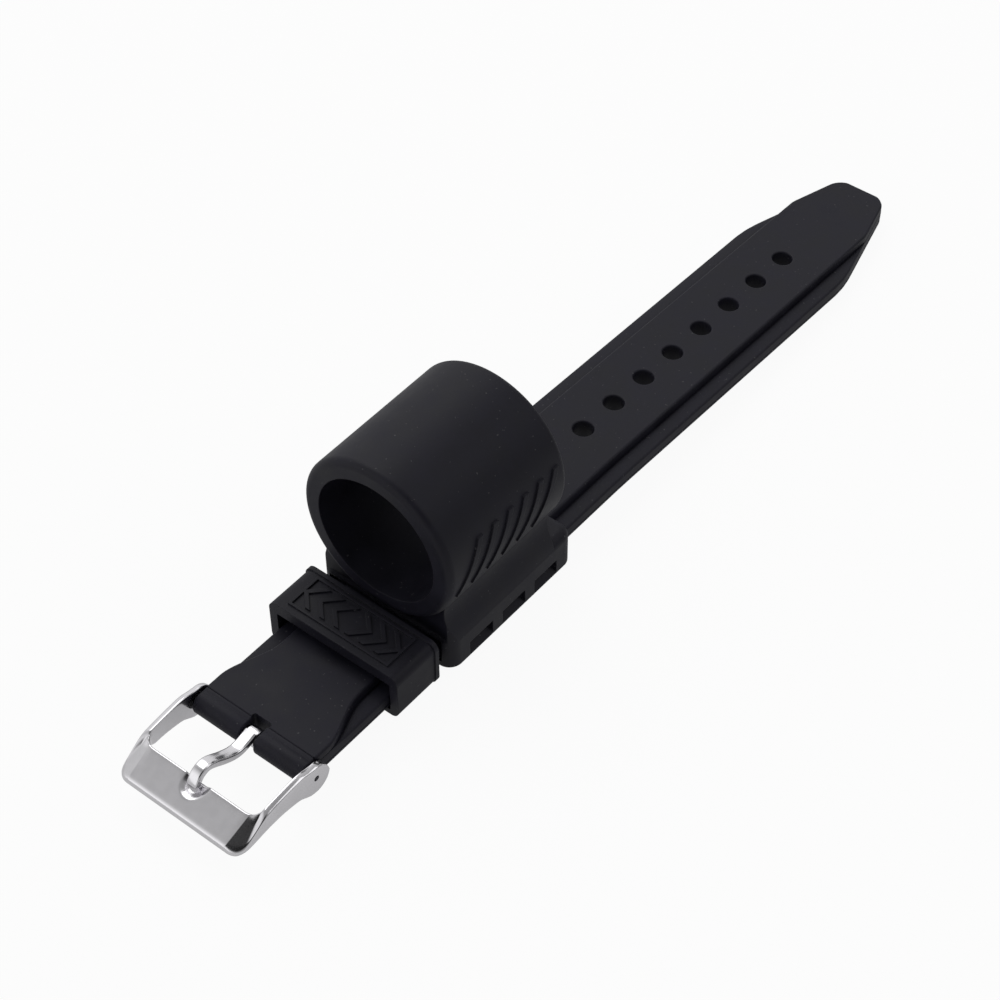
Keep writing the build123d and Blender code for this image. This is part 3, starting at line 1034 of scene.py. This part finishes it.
def make_floor():
    """A plain white sheet under the object."""
    builder = bmesh.new()
    bmesh.ops.create_grid(builder, x_segments=1, y_segments=1, size=FLOOR_HALF)
    floor = finish_mesh("floor", builder)
    floor.location.z = cad_box[0].z - FLOOR_GAP * MM
    nodes = Nodes("floor_white")
    nodes.set(nodes.shader.inputs["Base Color"], (0.6, 0.6, 0.6, 1.0))
    nodes.set(nodes.shader.inputs["Roughness"], 0.9)
    # Seen directly the sheet is nearly white, whatever little light reaches it.
    path = nodes.add("ShaderNodeLightPath")
    seen = path.outputs["Is Camera Ray"]
    strength = nodes.spread(path.outputs["Is Glossy Ray"], 0.0, 1.0, FLOOR_BOUNCE, FLOOR_MIRRORED)
    strength = nodes.spread(seen, 0.0, 1.0, strength, FLOOR_WHITE)
    glow = nodes.add("ShaderNodeEmission", Color=(1.0, 1.0, 1.0, 1.0), Strength=strength)
    share = nodes.spread(seen, 0.0, 1.0, 0.5, FLOOR_GLOW)
    blend = nodes.add("ShaderNodeMixShader", Fac=share)
    nodes.set(blend.inputs[1], nodes.shader.outputs["BSDF"])
    nodes.set(blend.inputs[2], glow.outputs["Emission"])
    output = next(node for node in nodes.tree.nodes if node.type == "OUTPUT_MATERIAL")
    nodes.set(output.inputs["Surface"], blend.outputs["Shader"])
    floor.data.materials.append(nodes.material)


def aim(thing, place, target):
    """Puts a lamp somewhere and points it at a target."""
    thing.location = place
    thing.rotation_mode = "QUATERNION"
    thing.rotation_quaternion = (Vector(target) - Vector(place)).to_track_quat("-Z", "Y")


def make_lamp(name, place, size, power, target=(0, 0, 0.01)):
    """A square soft box."""
    data = bpy.data.lights.new(name, "AREA")
    data.size = size
    data.energy = power
    lamp = bpy.data.objects.new(name, data)
    bpy.context.scene.collection.objects.link(lamp)
    aim(lamp, place, target)
    return lamp


def make_world():
    """A room that is bright on the side beyond the strap's tip and dark round the camera."""
    world = bpy.data.worlds.new("studio")
    world.use_nodes = True
    tree = world.node_tree

    def spread(value, low, high, to_low, to_high):
        node = tree.nodes.new("ShaderNodeMapRange")
        node.interpolation_type = "SMOOTHSTEP"
        tree.links.new(value, node.inputs["Value"])
        for key, number in (("From Min", low), ("From Max", high), ("To Min", to_low), ("To Max", to_high)):
            node.inputs[key].default_value = number
        return node.outputs["Result"]

    def along(target):
        node = tree.nodes.new("ShaderNodeVectorMath")
        node.operation = "DOT_PRODUCT"
        tree.links.new(direction, node.inputs[0])
        node.inputs[1].default_value = Vector(target).normalized()
        return node.outputs["Value"]

    direction = tree.nodes.new("ShaderNodeTexCoord").outputs["Generated"]
    total = tree.nodes.new("ShaderNodeMath")
    total.operation = "ADD"
    tree.links.new(spread(along(BRIGHT_SIDE), 0.4, 1.0, ROOM_DIM, ROOM_BRIGHT), total.inputs[0])
    tree.links.new(spread(along(LOW_GLOW), 0.5, 0.95, 0.0, GLOW_BRIGHT), total.inputs[1])
    product = tree.nodes.new("ShaderNodeMath")
    product.operation = "MULTIPLY"
    tree.links.new(total.outputs["Value"], product.inputs[0])
    tree.links.new(spread(along(camera_back()), 0.84, 0.96, 1.0, CAMERA_DARK), product.inputs[1])
    background = tree.nodes["Background"]
    background.inputs["Color"].default_value = (1.0, 1.0, 1.0, 1.0)
    tree.links.new(product.outputs["Value"], background.inputs["Strength"])
    bpy.context.scene.world = world


def camera_back():
    """Direction from the object to the camera."""
    azimuth = radians(CAMERA_AZIMUTH)
    elevation = radians(CAMERA_ELEVATION)
    return Vector((sin(azimuth) * cos(elevation), -cos(azimuth) * cos(elevation), sin(elevation)))


def make_camera():
    """The camera, at the viewing angle of a three-quarter product shot from the buckle's side."""
    roll_angle = radians(CAMERA_ROLL)
    back = camera_back()
    right = Vector((cos(radians(CAMERA_AZIMUTH)), sin(radians(CAMERA_AZIMUTH)), 0))
    up = back.cross(right)
    rolled_right = right * cos(roll_angle) + up * sin(roll_angle)
    rolled_up = up * cos(roll_angle) - right * sin(roll_angle)
    data = bpy.data.cameras.new("camera")
    data.sensor_width = CAMERA_FILM
    data.lens = CAMERA_LENS
    camera = bpy.data.objects.new("camera", data)
    bpy.context.scene.collection.objects.link(camera)
    camera.matrix_world = Matrix((rolled_right, rolled_up, back)).transposed().to_4x4()
    camera.location = Vector(CAMERA_PLACE) * MM
    bpy.context.scene.camera = camera


make_floor()
make_world()
make_lamp("key_light", (0.2, 0.5, 0.9), 0.7, 2.5)
make_lamp("fill_light", (0.35, -0.45, 0.6), 0.5, 0.8)
make_camera()
